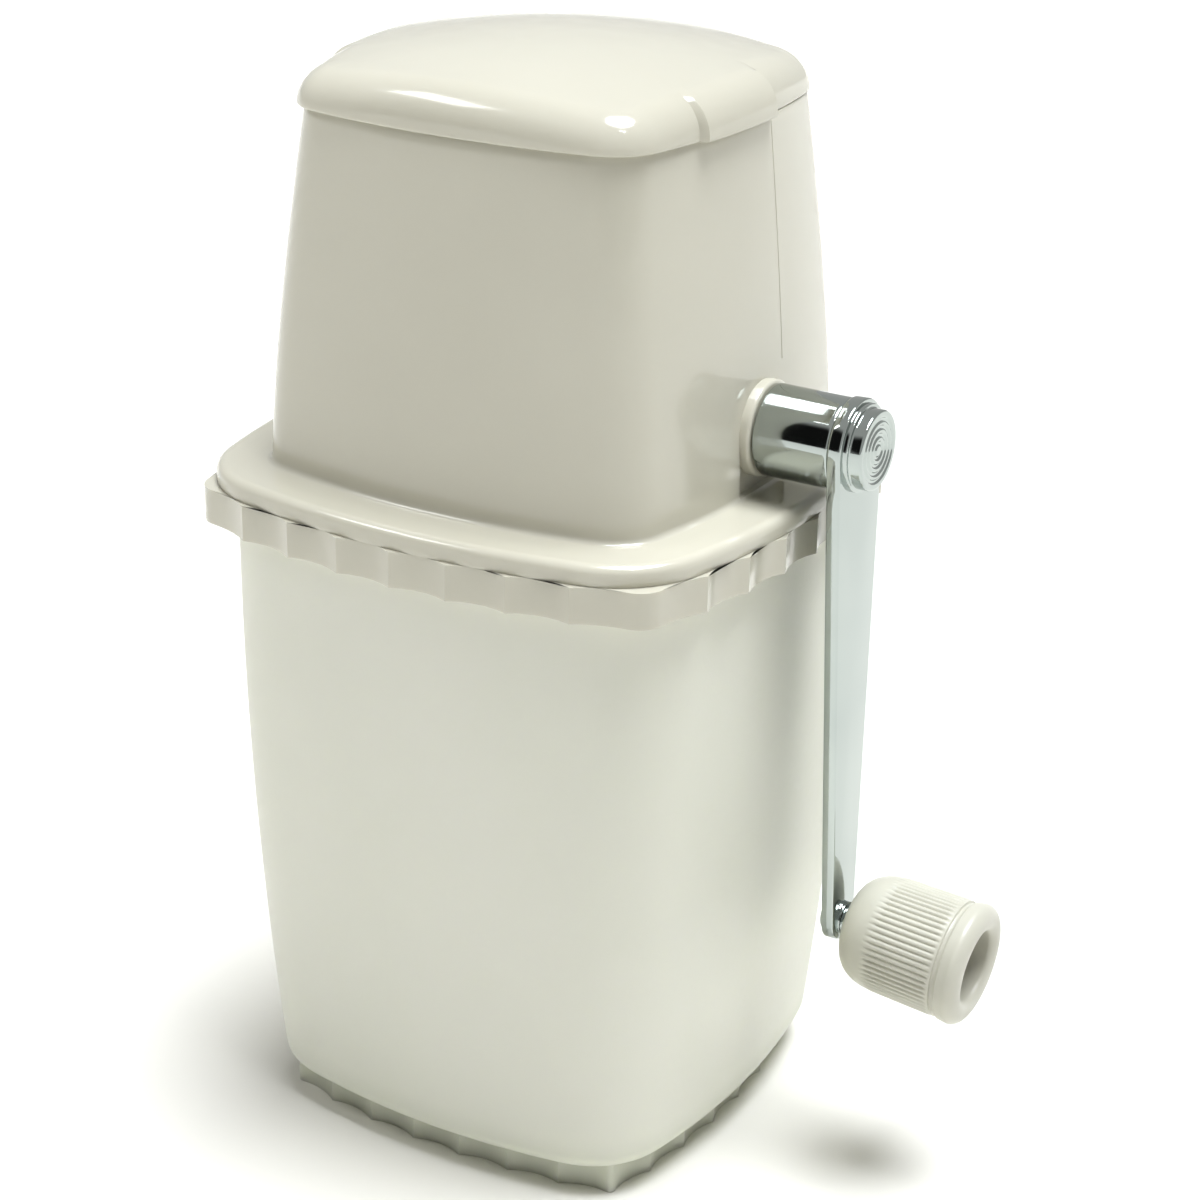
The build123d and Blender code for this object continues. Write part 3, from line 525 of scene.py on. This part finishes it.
def makeHousing():
    h = housingShape
    columns = evenSides(41)

    def square(half, bulge, corner):
        return squareOutline(half, bulge, corner, columns, 8)

    def wallRows(z, inset):
        bulge, corner = np.full_like(z, h["hopperBulge"]), np.full_like(z, h["hopperCorner"])
        wall, outward = square(hopperReach(z), bulge, corner)
        return raised(wall - inset[:, None, None] * outward, z)

    def beadRow(inset, z):
        return raised(beadPoints - inset * beadNormals, z)

    # outside of the hopper, from the mouth down to a small fillet on the bead's shelf
    edge, shoulder, mouth = h["mouthEdge"], h["mouthShoulder"], h["hopperTop"]
    outerZ = np.linspace(mouth - shoulder, h["hopperBottom"] + h["footFillet"], 46)
    mouthIn = np.array([h["wall"] - edge, h["wall"] - shoulder]), np.array([mouth - edge, mouth])
    mouthOut = np.array([shoulder, edge]), np.array([mouth, mouth - edge])
    turn = np.radians(np.linspace(0, 90, 7))
    filletZ = h["hopperBottom"] + h["footFillet"] * (1 - np.sin(turn))
    filletInset = -h["footFillet"] * (1 - np.cos(turn))
    beadPoints, beadNormals = square(h["beadHalf"], h["beadBulge"], h["beadCorner"])
    beadTurn = arc((h["beadRound"], h["hopperBottom"] - h["beadRound"]), h["beadRound"], 90, 180, 9)
    beadFoot = [(inset, h["collarTop"] + rise) for inset, rise in h["beadUnder"]]
    cusps = h["cuspPitch"] * np.arange(-h["cuspPairs"], h["cuspPairs"] + 1)
    fluted = flutedOutline(h["collarHalf"], h["collarBulge"], h["collarCorner"], cusps, h["fluteDepth"], 5, 8)
    skirtPoints, skirtNormals = square(h["skirtHalf"], h["skirtBulge"], h["skirtCorner"])
    shelfZ = h["collarTop"] - h["shelf"]
    chuteZ = np.linspace(shelfZ, h["hopperBottom"], 4)
    innerZ = np.linspace(h["hopperBottom"] + 1, mouth - shoulder, 46)
    rows = [
        wallRows(mouthIn[1], mouthIn[0]),
        wallRows(mouthOut[1], mouthOut[0]),
        wallRows(outerZ, np.zeros_like(outerZ)),
        wallRows(filletZ, filletInset),
        np.stack([beadRow(inset, h["hopperBottom"]) for inset in h["shelfInsets"]]),
        np.stack([beadRow(inset, z) for inset, z in beadTurn]),
        np.stack([beadRow(inset, z) for inset, z in beadFoot]),
        np.stack([raised(fluted, z) for z in np.linspace(h["collarTop"], h["collarBottom"], 4)]),
        np.stack([raised(skirtPoints, z) for z in np.linspace(h["collarBottom"], h["skirtBottom"], 5)]),
        np.stack([raised(skirtPoints - h["skirtWall"] * skirtNormals, z)
                  for z in np.linspace(h["skirtBottom"], shelfZ, 6)]),
        wallRows(chuteZ, np.full_like(chuteZ, h["wall"])),
        wallRows(innerZ, np.full_like(innerZ, h["wall"])),
    ]
    shell = gridMesh("housingShell", np.concatenate(rows), "ring")
    steps = []
    # a round boss on each side wall for the bushes
    for side in (1, -1):
        reach = h["bossFace"] - h["bossRound"]
        rounded = arc((reach, h["bossRadius"] - h["bossRound"]), h["bossRound"], 90, 0, 6)
        profile = np.concatenate([[(h["bossFace"] - h["bossLength"], h["bossRadius"])], rounded])
        points = turned(profile, (0, 0, axle["z"]), (side, 0, 0), (0, 0, 1), 96)
        steps.append(("UNION", gridMesh("boss", points, "poles")))
    # the wall is set back between the crank boss and the bead
    inside = float(hopperReach(np.array(axle["z"]))) - h["recessDepth"]
    width, low = h["bossRadius"], h["hopperBottom"] + h["footFillet"] * 0.5
    recess = np.array([(-width, low), (width, low), (width, axle["z"] - 1), (-width, axle["z"] - 1)])
    steps.insert(0, ("DIFFERENCE", alongX(recess, inside, inside + h["recessReach"], "recess")))
    # seam lines on both sides from above the boss to the mouth
    seamZ = np.linspace(h["seamBottom"], h["hopperTop"] + 1, 24)
    seamX = bowedReach(h["seamY"], hopperReach(seamZ), h["hopperBulge"])
    for side in (1, -1):
        x = np.stack([seamX - h["seamDepth"], seamX + 2, seamX + 2, seamX - h["seamDepth"]], axis=-1)
        y = h["seamY"] + h["seamWidth"] / 2 * np.array([-1, -1, 1, 1]) * np.ones_like(x)
        seam = np.stack([side * x, y, seamZ[:, None] + 0 * x], -1)
        steps.append(("DIFFERENCE", gridMesh("seam", seam, "poles")))
    # rails for the combs, rooted in the curved wall
    railX = np.linspace(-h["railHalf"], h["railHalf"], 25)
    railY = bowedReach(railX, h["hopperHalf"] - h["railRoot"], h["hopperBulge"])
    ringX = np.concatenate([railX, railX[::-1]])
    for side in (1, -1):
        ringY = side * np.concatenate([railY, np.full_like(railX, h["railInside"])])
        outline = np.stack([ringX, ringY], axis=-1)
        rings = np.stack([raised(outline, z) for z in (h["hopperBottom"] - 1, h["railTop"])])
        steps.append(("UNION", gridMesh("rail", rings, "poles")))
    # the housing's two hinge eyes
    circle, web = eyeOutline(hinge["eye"], -hinge["webReach"], 0, -hinge["eye"], hinge["webTop"])
    near = hinge["lidHalf"] + hinge["gap"]
    for start, end in ((near, hinge["outer"]), (-hinge["outer"], -near)):
        steps.append(("UNION", alongX(circle, start, end, "eye")))
        steps.append(("UNION", alongX(web, start, end, "eyeWeb")))
    pinHole = eyeOutline(hinge["pin"], 0, 1, 0, 1)[0]
    steps.append(("DIFFERENCE", alongX(pinHole, -hinge["outer"] - 1, hinge["outer"] + 1, "pinHole")))
    bore = [(-h["bossFace"] - 2, h["bushRadius"]), (h["bossFace"] + 2, h["bushRadius"])]
    boreMesh = gridMesh("bushBore", turned(bore, (0, 0, axle["z"]), (1, 0, 0), (0, 0, 1), 72), "poles")
    steps.append(("DIFFERENCE", boreMesh))
    piece = finishPiece("housingShell", combine(shell, steps), finishes["gloss"], 30, 0.22)
    settle(piece, "upper_unit", ["hopper_housing"])


makeHousing()
print("housing made")


# the lid

lidShape = {"bottom": 234.4, "top": 248.2, "wall": 2.3, "front": 46.0, "band": 47.6, "rear": 45.1,
            "bulge": 5.0, "corner": 12.0, "round": 9.0, "dome": 210.0, "rimRound": 0.35, "leastRise": 0.5,
            "bandFront": -20.2, "bandRear": 9.2, "stepWidth": 0.7, "sideReach": 32.5,
            "tailHeight": 3.0, "tailGap": 0.3}


def lidSurface(half, corner, edgeRound, top, domeRadius, params, rimRound):
    # Rings from the rim to the crown. Each column rises straight from the rim, turns over on an arc that
    # touches both the wall and a sphere through the crown, and then follows the sphere to the middle. Where
    # the sphere comes down low, at the corners, the arc starts part way round instead, just above the rim.
    s = lidShape
    wall, outward = squareOutline(half, np.full_like(half, s["bulge"]), corner, params, 14)
    wall, outward = wall[0], outward[0]
    turnCentre = wall - edgeRound * outward
    rho = np.linalg.norm(turnCentre, axis=-1)
    centreZ = top - domeRadius + np.sqrt((domeRadius - edgeRound) ** 2 - rho**2)
    lean = np.arcsin(rho / (domeRadius - edgeRound))
    share = np.linspace(0, 1, 14)[:, None]
    rimZ = s["bottom"] + rimRound
    start = np.arcsin(np.clip((rimZ + s["leastRise"] - centreZ) / edgeRound, 0, 1))
    angle = start + share * (math.pi / 2 - lean - start)
    overXy = turnCentre[None] + edgeRound * np.cos(angle)[..., None] * outward[None]
    overZ = centreZ + edgeRound * np.sin(angle)
    riseZ = rimZ + np.array([0, 0.5])[:, None] * (overZ[0] - rimZ)
    riseXy = np.stack([overXy[0], overXy[0]])
    domeShare = np.linspace(1, 0, 24)[1:-1][:, None]
    domeXy = overXy[-1][None] * domeShare[..., None]
    domeZ = top - domeRadius + np.sqrt(domeRadius**2 - (domeXy**2).sum(axis=-1))
    xy = np.concatenate([riseXy, overXy, domeXy])
    z = np.concatenate([riseZ, overZ, domeZ])
    return np.concatenate([xy, z[..., None]], axis=-1)


def makeLid():
    s = lidShape
    # points along a side wall crowd together at the two steps of the side band
    step, reach = s["stepWidth"] / 2, s["sideReach"]
    places = np.concatenate([
        np.linspace(-reach, s["bandFront"] - step, 8)[:-1],
        np.linspace(s["bandFront"] - step, s["bandFront"] + step, 7)[:-1],
        np.linspace(s["bandFront"] + step, s["bandRear"] - step, 18)[:-1],
        np.linspace(s["bandRear"] - step, s["bandRear"] + step, 7)[:-1],
        np.linspace(s["bandRear"] + step, reach, 12)])
    side = places / reach
    even = np.linspace(-1, 1, 44)
    params = [even, side, even, -side[::-1]]
    # each column keeps its own reach, so three widths meet in one surface
    corner = np.array([s["corner"]])
    forms = [lidSurface(np.array([half]), corner, s["round"], s["top"], s["dome"], params, s["rimRound"])
             for half in (s["front"], s["band"], s["rear"])]
    columnY = forms[1][0, :, 1]
    weightIn = smoothStep((columnY - s["bandFront"]) / s["stepWidth"] + 0.5)[None, :, None]
    weightOut = smoothStep((columnY - s["bandRear"]) / s["stepWidth"] + 0.5)[None, :, None]
    outer = forms[0] + (forms[1] - forms[0]) * weightIn + (forms[2] - forms[1]) * weightOut
    inner = lidSurface(np.array([s["rear"] - s["wall"]]), corner, s["round"] - s["wall"],
                       s["top"] - s["wall"], s["dome"], params, 0.0)
    # the rim's edge turns in over a third of a millimetre before its flat underside
    flat = outer[0] * [1, 1, 0]
    inward = -flat / np.linalg.norm(flat, axis=-1)[:, None]
    rim = [flat + inward * inset + [0, 0, s["bottom"] + z] for inset, z in ((0.12, 0.1), (s["rimRound"], 0))]
    surface = np.concatenate([inner[::-1], np.stack(rim[::-1]), outer])
    shell = gridMesh("lidShell", surface, "poles")
    circle, web = eyeOutline(hinge["eye"], -hinge["eye"], hinge["eye"], 0, hinge["lidWebTop"])
    tailLow = s["bottom"] + s["tailGap"] - hinge["z"]
    tailFront = s["rear"] - s["wall"] / 2 - hinge["y"]
    tail = eyeOutline(1, tailFront, 0, tailLow, tailLow + s["tailHeight"])[1]
    hole = eyeOutline(hinge["pin"] + hinge["play"], 0, 1, 0, 1)[0]
    end = hinge["lidHalf"]
    mesh = combine(shell, [
        ("UNION", alongX(circle, -end, end, "lidEye")),
        ("UNION", alongX(web, -end, end, "lidWeb")),
        ("UNION", alongX(tail, -end, end, "lidTail")),
        ("DIFFERENCE", alongX(hole, -end - 1, end + 1, "lidHole"))])
    piece = finishPiece("lidShell", mesh, finishes["gloss"], 34, 0.2)
    settle(piece, "lid", ["lid"])


makeLid()
print("lid made")


# the crank

crankShape = {"hubStart": 53.4, "hubRadius": 9.9, "hubRound": 0.6, "hubCore": 4.6,
              "armFace": 71.0, "armThickness": 3.1, "armTop": 10.4, "armEnd": 5.2, "armRound": 0.45,
              "length": 113.6, "leanDegrees": 2.5, "pinRadius": 2.5,
              "capFace": 78.0, "capRadius": 8.6, "capSkirt": 9.5, "capSkirtLength": 1.1, "capRound": 0.6,
              "capCore": 3.0, "capFillet": 0.35,
              "grooves": (1.6, 3.3, 5.0, 6.6), "grooveWidth": 0.45, "grooveDepth": 0.38}
knobShape = {"droopDegrees": 4.6, "start": 2.4, "end": 33.2, "domeLength": 9.5, "nose": 4.4,
             "radius": 13.1, "mouth": 13.4, "bore": 8.2, "webEnd": 16.5, "boreRound": 1.6, "holePlay": 0.05,
             "lip": 13.9, "lipLength": 6.2, "lipGap": 1.5, "lipLean": 0.25, "lipRound": 2.6, "lipWidth": 3.6,
             "ribs": 60, "ribDepth": 0.42, "ribRise": 0.12, "ribStart": 11.2, "ribEnd": 26.4,
             "ribFadeIn": 0.8, "ribFadeOut": 0.5, "ribSharpness": 2.2, "ribLeastRadius": 12.0,
             "groove": ((0.2, 0.45), (0.7, 0.55), (1.15, 0.3))}
lean = math.radians(crankShape["leanDegrees"])
crankUp = np.array([0, -math.sin(lean), math.cos(lean)])
crankAcross = np.array([0, math.cos(lean), math.sin(lean)])
axleOrigin = np.array([0, 0, axle["z"]])
armOutside = crankShape["armFace"] + crankShape["armThickness"]
pinFoot = axleOrigin + np.array([armOutside, 0, 0]) - crankUp * crankShape["length"]
droop = math.radians(knobShape["droopDegrees"])
pinLine = np.array([math.cos(droop), 0, 0]) - crankUp * math.sin(droop)


def makeHub():
    c = crankShape
    r = c["hubRound"]
    between = np.linspace(c["hubStart"] + 2 * r, c["armFace"] - 2 * r, 14)
    profile = np.concatenate([
        arc((c["hubStart"] + r, c["hubRadius"] - r), r, 180, 90, 6),
        np.stack([between, np.full_like(between, c["hubRadius"])], -1),
        arc((c["armFace"] - r, c["hubRadius"] - r), r, 90, 0, 6)])
    profile = np.concatenate([[(c["hubStart"], c["hubCore"])], profile, [(c["armFace"], c["hubCore"])]])
    mesh = gridMesh("hub", turned(profile, axleOrigin, (1, 0, 0), crankUp, 128), "poles")
    settle(finishPiece("crankHub", mesh, finishes["chrome"], 40), "rotor", ["crank_hub"])


def makeArm():
    # The outline is the hull of two circles: each keeps its arc outside the common tangents, whose angle off
    # the arm is the arcsine of the radii's difference over the distance between the centres.
    c = crankShape
    slope = math.degrees(math.asin((c["armTop"] - c["armEnd"]) / c["length"]))
    topArc = arc((0, 0), c["armTop"], -slope, 180 + slope, 60)
    endArc = arc((0, -c["length"]), c["armEnd"], 180 + slope, 360 - slope, 40)
    sides = np.linspace(0, 1, 30)[1:-1, None]
    outline = np.concatenate([topArc, topArc[-1] + (endArc[0] - topArc[-1]) * sides,
                              endArc, endArc[-1] + (topArc[0] - endArc[-1]) * sides])
    following = np.roll(outline, -1, axis=0) - np.roll(outline, 1, axis=0)
    outward = np.stack([following[:, 1], -following[:, 0]], -1) / np.linalg.norm(following, axis=-1)[:, None]
    r, depth = c["armRound"], c["armThickness"]
    edge = np.concatenate([arc((r, r), r, 270, 180, 6), arc((r, depth - r), r, 180, 90, 6)])
    rows = []
    for inset, place in edge:
        flat = outline - outward * inset
        spot = axleOrigin + flat[:, :1] * crankAcross + flat[:, 1:] * crankUp
        rows.append(spot + np.array([c["armFace"] + place, 0, 0]))
    mesh = gridMesh("arm", np.stack(rows), "poles")
    settle(finishPiece("crankArm", mesh, finishes["chrome"], 40), "rotor", ["crank_arm"])


def makeCap():
    # the face's height drops by the groove depth near each groove radius, on a rounded dip
    c = crankShape
    r = np.linspace(0.05, c["capRadius"] - c["capRound"], 90)
    dips = np.exp(-(((r[:, None] - np.array(c["grooves"])) / c["grooveWidth"]) ** 4)).sum(axis=-1)
    face = np.stack([c["capFace"] - c["grooveDepth"] * dips, r], axis=-1)
    skirtEnd = armOutside + c["capSkirtLength"]
    fillet = c["capFillet"]
    body = np.concatenate([
        [(armOutside, c["capCore"])],
        [(armOutside, c["capSkirt"])],
        arc((skirtEnd - fillet, c["capSkirt"] - fillet), fillet, 90, 0, 5),
        arc((skirtEnd + fillet, c["capRadius"] + fillet), fillet, 180, 270, 5),
        arc((c["capFace"] - c["capRound"], c["capRadius"] - c["capRound"]), c["capRound"], 90, 0, 7)])
    points = turned(np.concatenate([body, face[::-1]]), axleOrigin, (1, 0, 0), crankUp, 112)
    mesh = gridMesh("cap", points, "poles")
    settle(finishPiece("capNut", mesh, finishes["chrome"], 50), "rotor", ["cap_nut"])


def makeKnob():
    # The radius dips between ribs by the rib depth times a raised cosine of the angle, and only on the
    # straight part: a smooth step fades the ribs in and out at its ends.
    k = knobShape
    shoulder, neck = k["start"] + k["domeLength"], k["end"] - k["lipLength"]
    # the nose is a quarter of an ellipse, made a little squarer by the two powers
    dome = np.radians(np.linspace(0, 90, 18))
    nose = np.stack([shoulder - k["domeLength"] * np.cos(dome) ** 0.9,
                     k["nose"] + (k["radius"] - k["nose"]) * np.sin(dome) ** 0.8], axis=-1)
    straight = np.linspace(shoulder, neck, 34)[1:]
    widening = (k["mouth"] - k["radius"]) * np.linspace(0, 1, 34)[1:]
    barrel = np.stack([straight, k["radius"] + widening], axis=-1)
    groove = np.array([(neck + along, k["mouth"] - deep) for along, deep in k["groove"]])
    turnAt = k["end"] - k["lipRound"]
    outside = np.stack([np.linspace(neck + k["lipGap"], turnAt, 5),
                        np.linspace(k["lip"] - k["lipLean"], k["lip"], 5)], -1)
    turnOver = np.radians(np.linspace(90, 0, 12))
    face = k["lip"] - k["lipWidth"]
    over = np.stack([turnAt + k["lipRound"] * np.cos(turnOver), face + k["lipWidth"] * np.sin(turnOver)], -1)
    intoBore = np.radians(np.linspace(0, 90, 8))[1:]
    into = np.stack([k["end"] - k["boreRound"] * (1 - np.cos(intoBore)),
                     face - (face - k["bore"]) * np.sin(intoBore)], -1)
    boreAlong = np.linspace(k["end"] - k["boreRound"] - 0.3, k["webEnd"] + 0.4, 10)
    bore = np.stack([boreAlong, np.full_like(boreAlong, k["bore"])], -1)
    # small chamfers where the bore meets the web and at both ends of the pin's hole
    hole = crankShape["pinRadius"] + k["holePlay"]
    inside = np.array([(k["webEnd"], k["bore"] - 0.4), (k["webEnd"], hole + 0.2), (k["webEnd"] - 0.2, hole),
                       (k["start"] + 0.2, hole), (k["start"], hole + 0.2)])
    profile = np.concatenate([nose, barrel, groove, outside, over, into, bore, inside])

    def ribbed(place, angle, radius):
        fadeIn = smoothStep((place - k["ribStart"]) / k["ribFadeIn"])
        fadeOut = smoothStep((k["ribEnd"] - place) / k["ribFadeOut"])
        window = fadeIn * fadeOut * (radius > k["ribLeastRadius"])
        wave = (0.5 - 0.5 * np.cos(k["ribs"] * angle)) ** k["ribSharpness"]
        return radius - k["ribDepth"] * wave * window + k["ribRise"] * window

    points = turned(profile, pinFoot, pinLine, crankUp, 8 * k["ribs"], ribbed)
    mesh = gridMesh("knob", points, "ring")
    settle(finishPiece("knobShell", mesh, finishes["satin"], 45), "knob", ["knob"])


makeHub()
makeArm()
makeCap()
makeKnob()
print("crank made")


# metal and nylon parts keep their shape, with softened edges

refined("knob_pin", "rotor", finishes["chrome"], 0.2)
for number in range(1, 7):
    refined(f"claw_blade_{number}", "rotor", finishes["blade"], 0.18)
for node in ("rotor_shaft", "blade_spacers", "end_spacers"):
    refined(node, "rotor", finishes["blade"], 0.15)
for node in ("front_comb", "rear_comb"):
    refined(node, "upper_unit", finishes["blade"], 0.18)
for node, body in (("comb_screws", "upper_unit"), ("lid_hinge_pin", "upper_unit"), ("end_washer", "rotor"),
                   ("end_screw", "rotor"), ("knob_washer", "rotor"), ("knob_screw", "rotor")):
    refined(node, body, finishes["fastener"], 0.1)
for node in ("crank_side_bush", "far_side_bush"):
    refined(node, "upper_unit", finishes["nylon"], 0.15)
print("metal parts finished")


# camera, floor and light

view = {"azimuth": 30.375, "elevation": 23.025, "roll": 1.098, "distance": 620.4, "targetHeight": 119.06,
        "aside": 10.38, "lens": 82.06}


def makeCamera():
    a, e, r = (math.radians(view[name]) for name in ("azimuth", "elevation", "roll"))
    right = Vector((math.cos(a), math.sin(a), 0))
    up = Vector((-math.sin(a) * math.sin(e), math.cos(a) * math.sin(e), math.cos(e)))
    back = Vector((math.sin(a) * math.cos(e), -math.cos(a) * math.cos(e), math.sin(e)))
    x = math.cos(r) * right + math.sin(r) * up
    y = -math.sin(r) * right + math.cos(r) * up
    target = Vector((0, 0, view["targetHeight"])) + view["aside"] * right
    data = bpy.data.cameras.new("camera")
    data.lens = view["lens"]
    data.sensor_width = 36
    data.clip_start = 0.01
    data.clip_end = 100
    camera = bpy.data.objects.new("camera", data)
    turn = Matrix((x, y, back)).transposed().to_4x4()
    camera.matrix_world = Matrix.Translation((target + view["distance"] * back) * mm) @ turn
    bpy.context.scene.collection.objects.link(camera)
    bpy.context.scene.camera = camera


def makeFloor():
    mesh = bpy.data.meshes.new("floor")
    reach = 30  # metres
    corners = [(-reach, -reach, 0), (reach, -reach, 0), (reach, reach, 0), (-reach, reach, 0)]
    mesh.from_pydata(corners, [], [(0, 1, 2, 3)])
    floor = bpy.data.objects.new("floor", mesh)
    bpy.context.scene.collection.objects.link(floor)
    material, tree, shader = nodeMaterial("paleFloor", (0.80, 0.785, 0.74), 0.7)
    addTint(tree, shader, objectNoise(tree, 3, detail=1), (0.79, 0.775, 0.73), (0.805, 0.79, 0.745))
    mesh.materials.append(material)


def areaLight(name, place, aim, size, power, color=(1, 1, 1)):
    # place and aim in metres
    data = bpy.data.lights.new(name, "AREA")
    data.shape = "RECTANGLE"
    data.size, data.size_y = size
    data.energy = power
    data.color = color
    light = bpy.data.objects.new(name, data)
    light.location = place
    light.rotation_euler = (Vector(aim) - Vector(place)).to_track_quat("-Z", "Y").to_euler()
    light.visible_camera = False
    bpy.context.scene.collection.objects.link(light)


def makeLights():
    studio = {"sky": 0.14, "reflectedSky": 0.52, "backdrop": 0.95, "skyColor": (1.0, 1.0, 0.985),
              "sun": 5.0, "sunAngle": 34, "sunColor": (0.97, 1.0, 1.04), "sunFrom": (0.16, 0.10, 1.0),
              "windowPower": 4.0, "sparkPower": 0.5, "patchToward": (-0.45, -0.80, 0.34),
              "patchSpan": (0.86, 0.95), "patchStrength": 0.01}
    sunData = bpy.data.lights.new("overhead", "SUN")
    sunData.energy = studio["sun"]
    sunData.angle = math.radians(studio["sunAngle"])
    sunData.color = studio["sunColor"]
    sun = bpy.data.objects.new("overhead", sunData)
    sun.rotation_euler = (-Vector(studio["sunFrom"])).to_track_quat("-Z", "Y").to_euler()
    bpy.context.scene.collection.objects.link(sun)
    areaLight("window", (-0.75, -0.55, 1.25), (0, 0, 0.2), (0.5, 0.25), studio["windowPower"])
    areaLight("sparkLeft", (0.50, -0.30, 1.20), (0, 0, 0.2), (0.035, 0.03), studio["sparkPower"])
    areaLight("sparkRight", (0.60, -0.25, 1.18), (0, 0, 0.2), (0.035, 0.03), studio["sparkPower"])
    # the room: even and pale for everything but reflections, which also see a darker patch behind the camera
    world = bpy.data.worlds.new("room")
    bpy.context.scene.world = world
    world.use_nodes = True
    tree = world.node_tree
    background = tree.nodes["Background"]
    place = tree.nodes.new("ShaderNodeTexCoord")
    spot = tree.nodes.new("ShaderNodeVectorMath")
    spot.operation = "DOT_PRODUCT"
    spot.inputs[1].default_value = Vector(studio["patchToward"]).normalized()
    link(tree, place, "Generated", spot, 0)
    shade = tree.nodes.new("ShaderNodeMapRange")
    shade.interpolation_type = "SMOOTHSTEP"
    shade.inputs["From Min"].default_value, shade.inputs["From Max"].default_value = studio["patchSpan"]
    shade.inputs["To Min"].default_value = studio["reflectedSky"]
    shade.inputs["To Max"].default_value = studio["patchStrength"]
    tree.links.new(spot.outputs["Value"], shade.inputs["Value"])
    path = tree.nodes.new("ShaderNodeLightPath")
    choose = tree.nodes.new("ShaderNodeMix")
    choose.data_type = "FLOAT"
    choose.inputs[2].default_value = studio["sky"]
    tree.links.new(path.outputs["Is Glossy Ray"], choose.inputs[0])
    tree.links.new(shade.outputs["Result"], choose.inputs[3])
    # seen directly, above the floor's edge, the room is as pale as the floor
    seen = tree.nodes.new("ShaderNodeMix")
    seen.data_type = "FLOAT"
    seen.inputs[3].default_value = studio["backdrop"]
    tree.links.new(path.outputs["Is Camera Ray"], seen.inputs[0])
    tree.links.new(choose.outputs[0], seen.inputs[2])
    tree.links.new(seen.outputs[0], background.inputs["Strength"])
    background.inputs["Color"].default_value = (*studio["skyColor"], 1)


makeCamera()
makeFloor()
makeLights()
bpy.context.scene.view_settings.view_transform = "Standard"
print("camera, floor and light placed")
